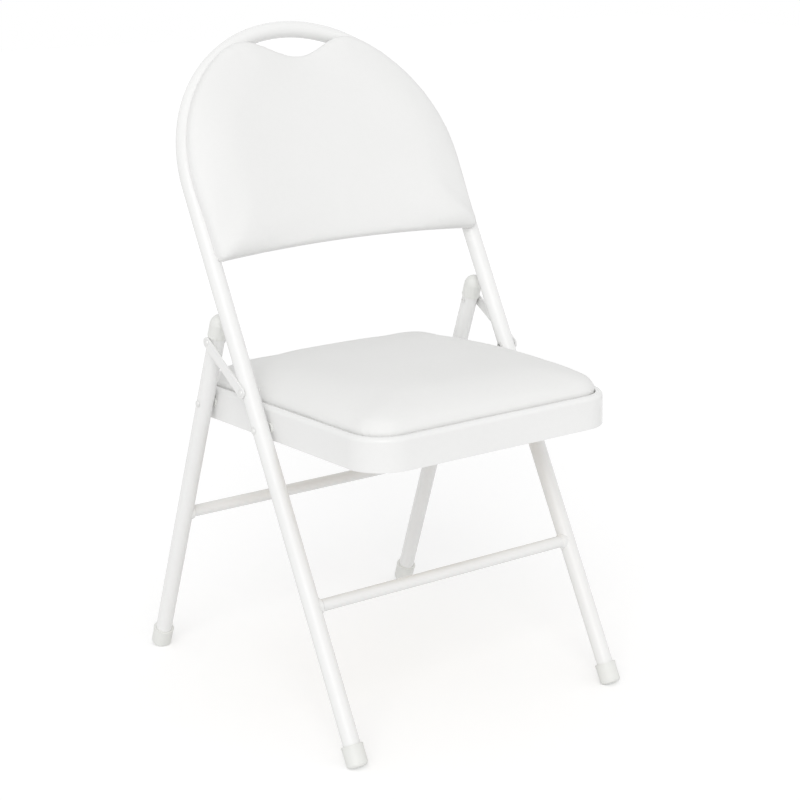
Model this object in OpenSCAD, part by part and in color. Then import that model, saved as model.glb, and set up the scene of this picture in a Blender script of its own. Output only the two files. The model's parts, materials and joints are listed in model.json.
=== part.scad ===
// Folding banquet chair with a padded seat and a padded, rounded back.
// X is left to right, -Y is the side the sitter faces, +Z is up.
// The origin is on the floor, half way along the chair's depth.

/* [Frame tubes] */
// Outer diameter of the hoop and leg tubes
tube_d = 22.2; // [20:0.1:25]
// Wall of every steel tube
tube_wall = 1.2; // [0.8:0.1:2]
// Distance between the two tube centre lines of the front frame
frame_w = 416; // [380:1:460]
// Lean of the front frame from the vertical, in degrees
frame_lean = 28.8; // [25:0.1:32]
// Distance along the tube from the seat pivot to the centre of the top bend
back_rise = 325.5; // [290:0.5:360]
// Lean of the rear legs from the vertical, in degrees
rear_lean = 19.4; // [18:0.1:21]
// How much further out a rear foot stands than a front foot
rear_spread = 5; // [4:0.1:7]

/* [Crossbars] */
// Outer diameter of both crossbars
bar_d = 15.9; // [12:0.1:19]
// Distance along the front leg from the floor to its crossbar
front_bar_s = 203; // [140:1:240]
// Distance along the rear leg from the floor to its crossbar
rear_bar_s = 229; // [150:1:260]
// Reach of the weld round each crossbar end
weld_w = 2.2; // [1:0.1:3]

/* [Pivots] */
// Distance along the rear leg from the floor to its seat pivot, which sets the seat's height
leg_pivot_s = 408; // [380:0.5:440]
// How much lower the front seat pivot is on the seat frame than the rear one
pivot_step = 8.6; // [6:0.1:11]
// Height of the front seat pivot above the seat frame's lower edge
pivot_up = 15.8; // [13:0.1:18]
// Distance along the front tube from the seat pivot to the link pivot
link_low_rise = 50.7; // [49:0.1:53]
// Distance along the rear leg from the seat pivot to the link pivot
link_high_rise = 94.4; // [92:0.1:97]
// How far a rear leg tube runs past its link pivot
leg_over = 24.6; // [22:0.1:26]
// Distance from a rear leg tube's end to the place where its line meets the front tube's
leg_reach = 39.6; // [38:0.1:42]
// Diameter of the rivet shanks
rivet_d = 6; // [4:0.1:7]
// Diameter of the rivet heads
rivet_head_d = 9.4; // [8:0.1:11]
// Height of the rivet heads
rivet_head_h = 2.3; // [1.5:0.1:2.6]
// Width of the folding links
link_w = 14; // [11:0.5:16]
// Thickness of the folding links
link_t = 2.4; // [1.5:0.1:3]
// Diameter of the spacers beside the seat frame
spacer_d = 14; // [10:0.5:18]
// Thickness of the spacers, with their gaps
spacer_t = 3.1; // [2.5:0.1:5]

/* [Seat] */
// How far the seat frame reaches ahead of its front pivots
seat_ahead = 222.4; // [205:0.1:235]
// How far the seat frame reaches behind its rear pivots
seat_behind = 57.6; // [54:0.1:62]
// Height of the steel seat frame
seat_h = 42.7; // [38:0.1:50]
// Fall of the seat towards the rear, in degrees
seat_tilt = 1.9; // [0:0.1:4]
// Corner radius of the seat frame, seen from above
seat_corner_r = 52; // [45:1:80]
// Thickness of the seat frame's sheet steel
sheet_t = 1.2; // [0.8:0.1:2]
// Width of the rolled rim on top of the seat frame
rim_w = 10; // [8:0.5:14]
// Radius of the rim's outer roll
rim_r = 6; // [3:0.5:7]
// Depth of the ledge that carries the seat board, below the rim
ledge_drop = 9; // [7:0.5:14]
// Width of the ledge
ledge_w = 15; // [10:0.5:25]
// Width of the turned-in flange at the bottom
flange_w = 13; // [8:0.5:20]
// Thickness of the seat board
seat_board_t = 7; // [5:0.5:7]
// Height of the seat cushion above the rim
seat_crown = 28; // [15:0.5:40]
// How far the middles of the cushion's sides are drawn in
seat_draw = 1; // [0:0.1:3]

/* [Back] */
// How far the pad reaches out past the tube centre lines
pad_over = 2.5; // [1:0.5:5]
// Length of the pad's straight sides, below the top bend
pad_side_len = 107; // [70:1:115]
// Rise of the pad's lower edge at its middle
pad_arch = 9; // [0:0.5:20]
// Radius of the pad's lower corners
pad_corner_r = 14; // [8:1:30]
// How far the pad's sides are drawn in at the lower corners
pad_draw = 3; // [0:0.5:8]
// Thickness of the pad at its full height
pad_t = 27; // [18:0.5:36]
// How far the middle of the pad is dished
pad_dish = 7; // [0:0.5:10]
// Half the distance between the two lobes beside the hand hole
lobe_x = 88; // [70:1:100]
// How far the lobes stay below the tube's centre line at the top
lobe_drop = 20; // [18:1:28]
// Depth of the hand hole's notch below the lobes
notch_depth = 28; // [15:1:40]
// Thickness of the back board
back_board_t = 5; // [3:0.5:8]
// Thickness of the panel that closes the pad's rear
rear_panel_t = 2; // [1.5:0.1:3]
// Distance from the tube centre line in to the back screws
tab_reach = 22; // [20:1:30]
// Width of the tabs that the back is screwed to
tab_w = 18; // [14:1:22]
// Thickness of the tabs
tab_t = 2; // [1.5:0.1:3]

/* [Upholstery] */
// Thickness of the vinyl covers
cover_t = 1; // [0.8:0.1:2]

/* [Feet and caps] */
// Outer diameter of the foot caps
foot_d = 27.6; // [26:0.1:28]
// Length of the foot caps along the leg
foot_len = 28; // [22:1:40]
// Radius of the rounded end of a foot cap
foot_r = 5; // [2:0.5:7]
// Height of the bead at the top of a foot cap
foot_bead_h = 3; // [2:0.5:5]
// How far the bead stands out
foot_bead_t = 0.5; // [0.2:0.1:0.8]
// Outer diameter of the caps on the rear legs
cap_d = 24.8; // [24:0.1:24.9]
// Length of the straight skirt of a rear leg cap
cap_skirt = 17; // [12:1:20]
// Height of the dome on a rear leg cap
cap_dome = 15; // [10:1:18]

/* [Screws] */
// Shank diameter of the back screws
back_screw_d = 5; // [4:0.5:6]
// Head diameter of the back screws
back_head_d = 9; // [7:0.5:11]
// Head height of the back screws
back_head_h = 2.6; // [2:0.1:4]
// Flange diameter of the tee nuts in the back board
nut_d = 17; // [12:1:22]
// Flange thickness of the tee nuts
nut_t = 1.2; // [0.8:0.1:2]
// Shank diameter of the seat screws
seat_screw_d = 4; // [3:0.5:5]
// Head diameter of the seat screws
seat_head_d = 8; // [6:0.5:9]
// Head height of the seat screws
seat_head_h = 2.4; // [2:0.1:4]

/* [Clearances] */
// Gap between welded or seated pieces
seat_gap = 0.1; // [0.05:0.01:0.3]
// Radial clearance of a rivet in its holes
pin_gap = 0.06; // [0.02:0.01:0.1]
// Gap between pieces that slide past each other
slide_gap = 0.4; // [0.3:0.05:0.6]
// Gap between a leg cap and the tube that it bears on
stop_gap = 0.35; // [0.3:0.05:0.5]

/* [Hidden] */

// Smoothness of round shapes
round_fn = 96;
small_fn = 48;
// Overrun that every cut runs past its surface
over = 2;
// Places of the left and the right side
left = -1;
right = 1;

tube_r = tube_d / 2;
bar_r = bar_d / 2;
frame_x = frame_w / 2;
rivet_r = rivet_d / 2;
rivet_head_r = rivet_head_d / 2;
foot_out_r = foot_d / 2;
cap_r = cap_d / 2;

// Thickness of a foot cap under its tube
foot_floor_t = 5;
// Where a foot cap starts along its leg, so that its flat sole is on the floor
foot_start_s = 1.5;
// Where a leg tube ends inside its foot cap
tube_end_s = foot_start_s + foot_floor_t;

// Rear legs: their sideways lean makes them as wide apart as the front tubes at the seat pivots
rear_x = frame_x + rear_spread;
rear_splay = asin(rear_spread / leg_pivot_s);
link_high_s = leg_pivot_s + link_high_rise;
rear_leg_len = link_high_s + leg_over;

// The lines of the front tube and the rear leg cross above the leg's cap, so that the cap bears
// on the tube, and that sets the distance between the feet
cross_z = (rear_leg_len + leg_reach) * cos(rear_lean);
base_depth = cross_z * (tan(frame_lean) + tan(rear_lean));
floor_y = base_depth / 2;

// Seat pivots in Y and Z about the middle of the feet. The rear pair comes first, and the front pair
// is where the front tube crosses the seat frame, a step lower
function seat_along(p) = p.x * cos(seat_tilt) - p.y * sin(seat_tilt);
function seat_above(p) = p.x * sin(seat_tilt) + p.y * cos(seat_tilt);
leg_pivot = [floor_y - leg_pivot_s * sin(rear_lean), leg_pivot_s * cos(rear_lean)];
seat_pivot_s = (seat_above(leg_pivot) - pivot_step + floor_y * sin(seat_tilt))
  / cos(frame_lean - seat_tilt);
seat_pivot = [seat_pivot_s * sin(frame_lean) - floor_y, seat_pivot_s * cos(frame_lean)];
link_low_s = seat_pivot_s + link_low_rise;

// The seat frame fills the space between the tubes and reaches past both pairs of pivots
seat_w = frame_w - tube_d - spacer_t * 2;
seat_depth = seat_ahead + seat_along(leg_pivot) - seat_along(seat_pivot) + seat_behind;
seat_front_y = seat_pivot.x - seat_ahead * cos(seat_tilt) - pivot_up * sin(seat_tilt);
seat_low_z = seat_pivot.y + seat_ahead * sin(seat_tilt) - pivot_up * cos(seat_tilt);

// The rear foot caps and the seat's front edge are the ends of the chair's depth,
// and the origin lies half way between them
rear_reach = floor_y + foot_r + (foot_out_r - foot_r) * cos(rear_lean)
  - (foot_start_s + foot_r) * sin(rear_lean);
mid_y = (rear_reach + seat_front_y) / 2;
front_y = -floor_y - mid_y;
rear_y = floor_y - mid_y;
seat_y = seat_front_y - mid_y;

// Places along the front tube
hoop_s = seat_pivot_s + back_rise;
pad_low_s = hoop_s - pad_side_len;

// Colours
paint = [0.94, 0.94, 0.93];
vinyl = [0.91, 0.91, 0.90];
plastic = [0.88, 0.89, 0.86];
foam_colour = [0.95, 0.92, 0.80];
wood = [0.76, 0.62, 0.44];
zinc = [0.75, 0.76, 0.77];

// The front frame stands in a frame of its own: Z runs up the tubes, -Y faces the sitter
module on_frame() translate([0, front_y, 0]) rotate([-frame_lean, 0, 0]) children();

// The rear legs stand in a frame of their own: Z runs up the legs
module on_rear() translate([0, rear_y, 0]) rotate([rear_lean, 0, 0]) children();

// One rear leg's own centre line runs along Z
module on_leg(side)
  on_rear() translate([side * rear_x, 0, 0]) rotate([0, -side * rear_splay, 0]) children();

// The seat's own frame: Y runs to the rear along its lower edge
module on_seat() translate([0, seat_y, seat_low_z]) rotate([-seat_tilt, 0, 0]) children();

// Centre line of a rear leg, sideways, at a distance along it
function leg_x(s) = rear_x - s * sin(rear_splay);

// A bar along X between two places
module along_x(x0, x1, r, fn = small_fn)
  translate([x0, 0, 0]) rotate([0, 90, 0]) cylinder(h = x1 - x0, r = r, $fn = fn);

// A low domed head that stands on the plane x = 0 and rises along +X
module dome_head(r, h) {
  ball_r = (r * r + h * h) / (2 * h);
  rotate([0, 90, 0]) rotate_extrude($fn = small_fn) intersection() {
    square([r, h]);
    translate([0, h - ball_r]) circle(r = ball_r, $fn = round_fn);
  }
}

// A rivet along X: domed head outside, shank, and an upset end inside
module rivet(side, x_in, x_out, hollow_r = 0) {
  mirror([side < 0 ? 1 : 0, 0, 0]) {
    translate([x_out, 0, 0]) dome_head(rivet_head_r, rivet_head_h);
    difference() {
      union() {
        along_x(x_in, x_out, rivet_r);
        along_x(x_in - upset_h, x_in, upset_r);
      }
      if (hollow_r > 0) along_x(x_in - upset_h - over, x_in - upset_h + hollow_depth, hollow_r);
    }
  }
}

// Front frame

module hoop_solid(r, foot_end) {
  for (x = [-frame_x, frame_x])
    translate([x, 0, foot_end]) cylinder(h = hoop_s - foot_end, r = r, $fn = round_fn);
  translate([0, 0, hoop_s]) rotate([90, 0, 0])
    rotate_extrude(angle = 180, $fn = round_fn * 2) translate([frame_x, 0]) circle(r = r, $fn = round_fn);
}

module front_frame() color(paint) on_frame() difference() {
  hoop_solid(tube_r, tube_end_s);
  hoop_solid(tube_r - tube_wall, tube_end_s - over);
  for (s = [seat_pivot_s, link_low_s])
    translate([0, 0, s]) along_x(-frame_x - tube_d, frame_x + tube_d, rivet_r + pin_gap);
}

// A hollow crossbar along X between the tube centre lines, with a weld flare at each end
module crossbar(half_len) {
  flare_x = half_len - tube_r - weld_w;
  in_r = bar_r - tube_wall;
  rotate([0, 90, 0]) rotate_extrude($fn = small_fn) polygon([
    [in_r, -half_len], [bar_r + weld_w, -half_len], [bar_r + weld_w, -half_len + tube_r],
    [bar_r, -flare_x], [bar_r, flare_x],
    [bar_r + weld_w, half_len - tube_r], [bar_r + weld_w, half_len], [in_r, half_len]]);
}

module front_crossbar() color(paint) on_frame() difference() {
  translate([0, 0, front_bar_s]) crossbar(frame_x);
  for (x = [-frame_x, frame_x])
    translate([x, 0, 0]) cylinder(h = hoop_s, r = tube_r + seat_gap, $fn = round_fn);
}

// Section of a foot cap round the leg's centre line, with a rounded end and a bead near its top
module foot_section() {
  square([foot_out_r - foot_r, foot_len]);
  translate([0, foot_r]) square([foot_out_r, foot_len - foot_r]);
  translate([foot_out_r - foot_r, foot_r]) circle(r = foot_r, $fn = small_fn);
  translate([0, foot_len - foot_bead_h])
    square([foot_out_r + foot_bead_t, foot_bead_h - foot_bead_t]);
}

module foot_shape() difference() {
  rotate_extrude($fn = round_fn) foot_section();
  translate([0, 0, foot_floor_t]) cylinder(h = foot_len, r = tube_r + seat_gap, $fn = round_fn);
}

// What lies below the floor
module floor_cut() translate([0, 0, -foot_len])
  cube([seat_w * 3, base_depth * 2, foot_len * 2], center = true);

module front_foot(side) color(plastic) difference() {
  on_frame() translate([side * frame_x, 0, foot_start_s]) foot_shape();
  floor_cut();
}
module front_foot_left() front_foot(left);
module front_foot_right() front_foot(right);

// Upholstery

// A closed skin over a list of rings with the same count of points, closed at both ends
module ring_solid(rings) {
  n = len(rings);
  m = len(rings[0]);
  middle = function (ring) [for (axis = [0:2]) [for (p = ring) p[axis]] * [for (p = ring) 1] / m];
  points = concat([for (ring = rings) each ring], [middle(rings[0]), middle(rings[n - 1])]);
  faces = concat(
    [for (i = [0:n - 2], j = [0:m - 1]) let (k = (j + 1) % m) each
      [[i * m + j, i * m + k, (i + 1) * m + j], [i * m + k, (i + 1) * m + k, (i + 1) * m + j]]],
    [for (j = [0:m - 1]) [n * m, (j + 1) % m, j]],
    [for (j = [0:m - 1]) [n * m + 1, (n - 1) * m + j, (n - 1) * m + (j + 1) % m]]);
  polyhedron(points = points, faces = faces);
}

// A point moved a distance towards a middle, then scaled about it
function drawn(p, middle, inset, scale) =
  middle + (p - middle) * (1 - inset / norm(p - middle)) * scale;

// Back pad outline in the frame's X and Z, anticlockwise seen from the sitter's side
pad_r = frame_x + pad_over;
lobe_top_s = hoop_s + frame_x - lobe_drop;
arc_start = acos(1.25 * lobe_x / pad_r);
arc_steps = 9;
notch_steps = 7;
corner_steps = 4;
bottom_steps = 5;
pad_side_x = pad_r - pad_draw;
pad_half = concat(
  [for (i = [0:notch_steps]) let (x = lobe_x * i / notch_steps)
    [x, lobe_top_s - notch_depth * (1 + cos(180 * x / lobe_x)) / 2]],
  [for (i = [0:arc_steps]) let (a = arc_start * (1 - i / arc_steps))
    [pad_r * cos(a), hoop_s + pad_r * sin(a)]],
  [[pad_r, hoop_s - pad_r / 5]],
  [for (i = [0:corner_steps]) let (a = 90 * i / corner_steps)
    [pad_side_x - pad_corner_r * (1 - cos(a)), pad_low_s + pad_corner_r * (1 - sin(a))]],
  [for (i = [1:bottom_steps - 1]) let (x = (pad_side_x - pad_corner_r) * (1 - i / bottom_steps))
    [x, pad_low_s + pad_arch * (1 - pow(x / pad_side_x, 2))]]);
pad_outline = concat(pad_half, [[0, pad_low_s + pad_arch]],
  [for (i = [len(pad_half) - 1:-1:1]) [-pad_half[i].x, pad_half[i].y]]);
pad_middle = [0, (pad_low_s + lobe_top_s) / 2];

// Rings of the back pad: share of its thickness drawn in, scale about the middle, share of its height
pad_ring_shares = [[0.05, 1, 0], [0, 1, 0.3], [0.05, 1, 0.55], [0.2, 1, 0.79], [0.5, 1, 0.93],
                   [1.1, 1, 1], [1.6, 0.72, 1], [1.6, 0.36, 1]];

// How far a pad surface point is dished, for its share of the full height
function dish(x, share) = pad_dish * share * (1 - pow(x / pad_r, 2));

// Ring i of the back pad, a depth below its outer surface and never below a floor height
function pad_ring(i, depth, low) = let (row = pad_ring_shares[i]) [for (p = pad_outline)
  let (q = drawn(p, pad_middle, row[0] * pad_t + depth, row[1]),
       h = max(low, row[2] * pad_t - (i == 0 ? 0 : depth * row[2]) - dish(q.x, row[2])))
  [q.x, -pad_back_y - h, q.y]];

// Plane of the back board's rear face, ahead of the tube centre lines
pad_back_y = tube_r + seat_gap * 3;
pad_rings = len(pad_ring_shares);

module back_cover() color(vinyl) on_frame() ring_solid(concat(
  [for (i = [pad_rings - 1:-1:0]) pad_ring(i, cover_t, 0)],
  [for (i = [0:pad_rings - 1]) pad_ring(i, 0, 0)]));

// The foam starts clear of the tee nuts on the board's front
foam_low = back_board_t + nut_t + seat_gap * 2;
module back_foam() color(foam_colour) on_frame() ring_solid(concat(
  [[for (p = pad_ring(0, cover_t + seat_gap * 3, 0)) [p.x, -pad_back_y - foam_low, p.z]]],
  [for (i = [2:pad_rings - 1]) pad_ring(i, cover_t + seat_gap * 3, foam_low + seat_gap)]));

// The outline drawn in by a distance, as a flat shape
module pad_flat(inset) polygon([for (p = pad_outline) drawn(p, pad_middle, inset, 1)]);

// Places of the four back screws, beside the straight tubes and under the top bend
screw_turn = 50;
screw_rise = 37;
screw_low_s = pad_low_s + screw_rise;
screw_x = frame_x - tab_reach;
back_screw_places = [for (side = [left, right], p = [[screw_x, screw_low_s],
    [screw_x * cos(screw_turn), hoop_s + screw_x * sin(screw_turn)]]) [side * p.x, p.y]];
module back_holes(r) for (p = back_screw_places)
  translate([p.x, pad_t, p.y]) rotate([90, 0, 0]) cylinder(h = pad_t * 2, r = r, $fn = small_fn);

module back_board() color(wood) on_frame() difference() {
  translate([0, -pad_back_y, 0]) rotate([90, 0, 0])
    linear_extrude(height = back_board_t) pad_flat(board_inset);
  back_holes(nut_barrel_r + seat_gap);
}
board_inset = pad_t * pad_ring_shares[0][0] + cover_t * 2;

// Panel between the tubes that closes the rear of the pad
module back_rear_panel() color(vinyl) on_frame() difference() {
  translate([0, panel_back_y, 0]) rotate([90, 0, 0])
    linear_extrude(height = rear_panel_t - seat_gap) pad_flat(panel_inset);
  back_holes(back_screw_d / 2 + seat_gap);
}
panel_inset = pad_r - frame_x + tube_r + seat_gap * 4;
panel_back_y = rear_panel_t - pad_back_y;

// Four tabs welded inside the hoop, behind the panel
tab_back_y = panel_back_y + seat_gap + tab_t;
module back_tabs() color(paint) on_frame() difference() {
  for (side = [left, right], place = [[0, screw_low_s], [screw_turn, hoop_s]])
    mirror([side < 0 ? 1 : 0, 0, 0]) translate([0, tab_back_y, place[1]]) rotate([0, -place[0], 0])
      translate([screw_x, 0, 0]) rotate([90, 0, 0]) linear_extrude(height = tab_t) {
        circle(r = tab_w / 2, $fn = small_fn);
        translate([0, -tab_w / 2]) square([tab_reach, tab_w]);
      }
  hoop_solid(tube_r + seat_gap, 0);
  back_holes(back_screw_d / 2 + pin_gap);
}

// Back screws run from behind the tabs through the panel and the board into tee nuts
nut_barrel_r = back_screw_d / 2 + tube_wall;
module back_screws() color(zinc) on_frame() for (p = back_screw_places)
  translate([p.x, tab_back_y + seat_gap, p.y]) {
    rotate([0, 0, 90]) dome_head(back_head_d / 2, back_head_h);
    rotate([90, 0, 0])
      cylinder(h = tab_back_y + seat_gap + pad_back_y + back_board_t, r = back_screw_d / 2, $fn = small_fn);
  }

module back_tee_nuts() color(zinc) on_frame() for (p = back_screw_places)
  translate([p.x, -pad_back_y - back_board_t - nut_t - seat_gap, p.y]) rotate([-90, 0, 0]) difference() {
    union() {
      cylinder(h = nut_t, r = nut_d / 2, $fn = small_fn);
      cylinder(h = nut_t + back_board_t - seat_gap, r = nut_barrel_r, $fn = small_fn);
    }
    translate([0, 0, -over]) cylinder(h = pad_t, r = back_screw_d / 2 + pin_gap, $fn = small_fn);
  }

// Seat

// A flat shape with round corners: x from -w/2 to w/2, y from 0 to d
module rounded_plan(w, d, r) {
  translate([-w / 2 + r, 0]) square([w - r * 2, d]);
  translate([-w / 2, r]) square([w, d - r * 2]);
  for (x = [-w / 2 + r, w / 2 - r], y = [r, d - r]) translate([x, y]) circle(r = r, $fn = round_fn);
}

// A block with two rounded top corners, standing on y = 0
module arched_block(x0, x1, h, r_out, r_in) {
  translate([x0, 0]) square([x1 - x0, h - r_out]);
  translate([x0 + r_out, 0]) square([x1 - x0 - r_out - r_in, h]);
  translate([x1 - r_in, 0]) square([r_in, h - r_in]);
  intersection() {
    translate([x0 + r_out, h - r_out]) circle(r = r_out, $fn = small_fn);
    translate([x0, h - r_out]) square([r_out, r_out]);
  }
  translate([x1 - r_in, h - r_in]) circle(r = r_in, $fn = small_fn);
}

// Section of the seat frame's rim: x runs inwards from the outer face, y runs up
module channel() difference() {
  arched_block(0, rim_w, seat_h, rim_r, lip_r);
  translate([0, -over]) arched_block(sheet_t, rim_w - sheet_t, seat_h - sheet_t + over, rim_r - sheet_t,
    lip_r - sheet_t);
  translate([rim_r, -over]) square([rim_w, seat_h - ledge_drop + over]);
}
lip_r = rim_r / 2;

module seat_section() {
  channel();
  translate([rim_w - sheet_t, seat_h - ledge_drop]) square([ledge_w + sheet_t, sheet_t]);
  square([flange_w, sheet_t]);
}

// Carries a section round the seat's plan: four bent corners and four straight runs
module seat_ring() {
  run_x = seat_w - seat_corner_r * 2;
  run_y = seat_depth - seat_corner_r * 2;
  for (turn = [0:3]) {
    run = turn % 2 == 0 ? run_x : run_y;
    reach = turn % 2 == 0 ? seat_depth / 2 : seat_w / 2;
    translate([0, seat_depth / 2, 0]) rotate([0, 0, 90 * turn]) {
      translate([-run / 2, -reach, 0]) rotate([90, 0, 90]) linear_extrude(height = run) children();
      translate([run / 2, -reach + seat_corner_r, 0]) rotate([0, 0, -90])
        rotate_extrude(angle = 90, $fn = round_fn) translate([seat_corner_r, 0]) mirror([1, 0]) children();
    }
  }
}

// Places of the four seat screws in the seat's own X and Y
screw_in = rim_w + ledge_w / 2;
screw_front = seat_depth / 4;
seat_screw_places = [for (side = [left, right], y = [screw_front, seat_depth - screw_front])
  [side * (seat_w / 2 - screw_in), y]];

module pivot_holes(r) {
  on_frame() translate([0, 0, seat_pivot_s]) along_x(-frame_w, frame_w, r);
  on_rear() translate([0, 0, leg_pivot_s]) along_x(-frame_w, frame_w, r);
}

module seat_frame() color(paint) difference() {
  on_seat() difference() {
    seat_ring() seat_section();
    for (p = seat_screw_places)
      translate([p.x, p.y, seat_h - ledge_drop - over])
        cylinder(h = over * 2 + sheet_t, r = seat_screw_d / 2 + pin_gap, $fn = small_fn);
  }
  pivot_holes(rivet_r + pin_gap);
}

// Height of the ledge's top in the seat's own frame
ledge_z = seat_h - ledge_drop + sheet_t;
cushion_in = rim_w + seat_gap * 3;
board_in = cushion_in + cover_t + seat_draw + seat_gap;

module seat_board() color(wood) on_seat() difference() {
  translate([0, board_in, ledge_z + seat_gap]) linear_extrude(height = seat_board_t)
    rounded_plan(seat_w - board_in * 2, seat_depth - board_in * 2, seat_corner_r - board_in);
  for (p = seat_screw_places)
    translate([p.x, p.y, 0])
      cylinder(h = ledge_z + screw_bite + seat_gap * 2, r = seat_screw_d / 2 + pin_gap, $fn = small_fn);
}
// How far a seat screw bites into the board
screw_bite = seat_board_t * 0.8;

module seat_screws() color(zinc) on_seat() for (p = seat_screw_places)
  translate([p.x, p.y, seat_h - ledge_drop - seat_gap]) {
    rotate([0, 90, 0]) dome_head(seat_head_d / 2, seat_head_h);
    cylinder(h = sheet_t + seat_gap * 2 + screw_bite, r = seat_screw_d / 2, $fn = small_fn);
  }

// Seat cushion outline in the seat's own X and Y, about its middle, anticlockwise from above
cushion_hx = seat_w / 2 - cushion_in;
cushion_hy = seat_depth / 2 - cushion_in;
cushion_r = seat_corner_r - cushion_in;
seat_corner_steps = 6;
seat_side_steps = 5;
function corner_arc(cx, cy, a0) = [for (i = [0:seat_corner_steps])
  let (a = a0 + 90 * i / seat_corner_steps) [cx + cushion_r * cos(a), cy + cushion_r * sin(a)]];
function between(a, b, steps) = [for (i = [1:steps - 1]) a + (b - a) * i / steps];
corner_lists = [corner_arc(cushion_hx - cushion_r, cushion_hy - cushion_r, 0),
                corner_arc(cushion_r - cushion_hx, cushion_hy - cushion_r, 90),
                corner_arc(cushion_r - cushion_hx, cushion_r - cushion_hy, 180),
                corner_arc(cushion_hx - cushion_r, cushion_r - cushion_hy, 270)];
seat_outline = [for (c = [0:3]) each concat(corner_lists[c],
  between(corner_lists[c][seat_corner_steps], corner_lists[(c + 1) % 4][0], seat_side_steps))];
function drawn_side(p) = [p.x - sign(p.x) * seat_draw * (1 - pow(p.y / cushion_hy, 2)),
                          p.y - sign(p.y) * seat_draw * (1 - pow(p.x / cushion_hx, 2))];

// Rings of the seat cushion: share of the crown drawn in, scale about the middle, share of its rise
seat_ring_shares = [[0, 1, 0], [0.02, 1, 0.27], [0.1, 1, 0.5], [0.28, 1, 0.68], [0.62, 1, 0.8],
                    [1.3, 1, 0.89], [2.2, 0.9, 0.95], [2.2, 0.6, 0.99], [2.2, 0.28, 1]];
seat_rings = len(seat_ring_shares) + 1;
rim_rise = seat_h - ledge_z;

// Ring i of the cushion: ring 0 lies on the ledge and the rest rise from the rim
function cushion_ring(i, depth, low) = let (row = seat_ring_shares[max(0, i - 1)]) [for (p = seat_outline)
  let (q = drawn(drawn_side(p), [0, 0], row[0] * seat_crown + depth, row[1]),
       h = i == 0 ? seat_gap : rim_rise + row[2] * seat_crown - depth * min(1, row[2] * 3))
  [q.x, q.y + seat_depth / 2, ledge_z + max(low, h)]];

module seat_cover() color(vinyl) on_seat() ring_solid(concat(
  [for (i = [seat_rings - 1:-1:0]) cushion_ring(i, 0, 0)],
  [for (i = [0:seat_rings - 1]) cushion_ring(i, cover_t, 0)]));

seat_foam_low = seat_board_t + seat_gap * 3;
module seat_foam() color(foam_colour) on_seat() ring_solid(concat(
  [for (i = [seat_rings - 1:-1:2]) cushion_ring(i, cover_t + seat_gap * 3, seat_foam_low + seat_gap)],
  [[for (p = cushion_ring(1, cover_t + seat_gap * 3, 0)) [p.x, p.y, ledge_z + seat_foam_low]]]));

// Rivets, spacers and links

upset_r = rivet_head_r * 0.85;
upset_h = rivet_head_h * 0.7;
hollow_depth = rivet_head_h * 2;
hollow_r = rivet_r * 0.6;
seat_side_x = seat_w / 2;

module seat_rivet(side) color(zinc) on_frame() translate([0, 0, seat_pivot_s])
  rivet(side, seat_side_x - sheet_t - seat_gap, frame_x + tube_r + seat_gap);
module seat_rivet_left() seat_rivet(left);
module seat_rivet_right() seat_rivet(right);

module leg_rivet(side) color(zinc) on_rear() translate([0, 0, leg_pivot_s])
  rivet(side, seat_side_x - sheet_t - seat_gap, frame_x + tube_r + seat_gap * 2);
module leg_rivet_left() leg_rivet(left);
module leg_rivet_right() leg_rivet(right);

// A spacer between the seat frame's side and a tube
module spacer(side) color(plastic) mirror([side < 0 ? 1 : 0, 0, 0]) difference() {
  along_x(seat_side_x + seat_gap, frame_x - tube_r - seat_gap * 2, spacer_d / 2);
  along_x(seat_side_x - over, frame_x, rivet_r + pin_gap);
}
module front_spacer(side) on_frame() translate([0, 0, seat_pivot_s]) spacer(side);
module front_spacer_left() front_spacer(left);
module front_spacer_right() front_spacer(right);
module rear_spacer(side) on_rear() translate([0, 0, leg_pivot_s]) spacer(side);
module rear_spacer_left() rear_spacer(left);
module rear_spacer_right() rear_spacer(right);

// Planes of the links, outside both tubes
link_in_x = frame_x + tube_r + slide_gap;
link_out_x = link_in_x + link_t;

// Pivot places in Y and Z
link_low = [front_y + link_low_s * sin(frame_lean), link_low_s * cos(frame_lean)];
link_high = [rear_y - link_high_s * sin(rear_lean), link_high_s * cos(rear_lean)];
link_len = norm(link_high - link_low);
link_angle = atan2(link_high.y - link_low.y, link_high.x - link_low.x);

module at_yz(p) translate([0, p.x, p.y]) children();

// A link along Y, from its lower pivot to its upper one
module link_bar() difference() {
  union() {
    along_x(link_in_x, link_out_x, link_w / 2);
    translate([0, link_len, 0]) along_x(link_in_x, link_out_x, link_w / 2);
    translate([link_in_x, 0, -link_w / 2]) cube([link_t, link_len, link_w]);
  }
  for (y = [0, link_len])
    translate([0, y, 0]) along_x(link_in_x - over, link_out_x + over, rivet_r + pin_gap);
}
module link(side) color(paint)
  mirror([side < 0 ? 1 : 0, 0, 0]) at_yz(link_low) rotate([link_angle, 0, 0]) link_bar();
module link_left() link(left);
module link_right() link(right);

module link_low_rivet(side) color(zinc) on_frame() translate([0, 0, link_low_s])
  rivet(side, frame_x - tube_r - seat_gap, link_out_x + seat_gap, hollow_r);
module link_low_rivet_left() link_low_rivet(left);
module link_low_rivet_right() link_low_rivet(right);

// The rivet head at the top of a link, whose shank ends flush with the link's inner face
module link_high_rivet(side) color(zinc) at_yz(link_high) mirror([side < 0 ? 1 : 0, 0, 0]) {
  translate([link_out_x + seat_gap, 0, 0]) dome_head(rivet_head_r, rivet_head_h);
  along_x(link_in_x, link_out_x + seat_gap, rivet_r);
}
module link_high_rivet_left() link_high_rivet(left);
module link_high_rivet_right() link_high_rivet(right);

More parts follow.
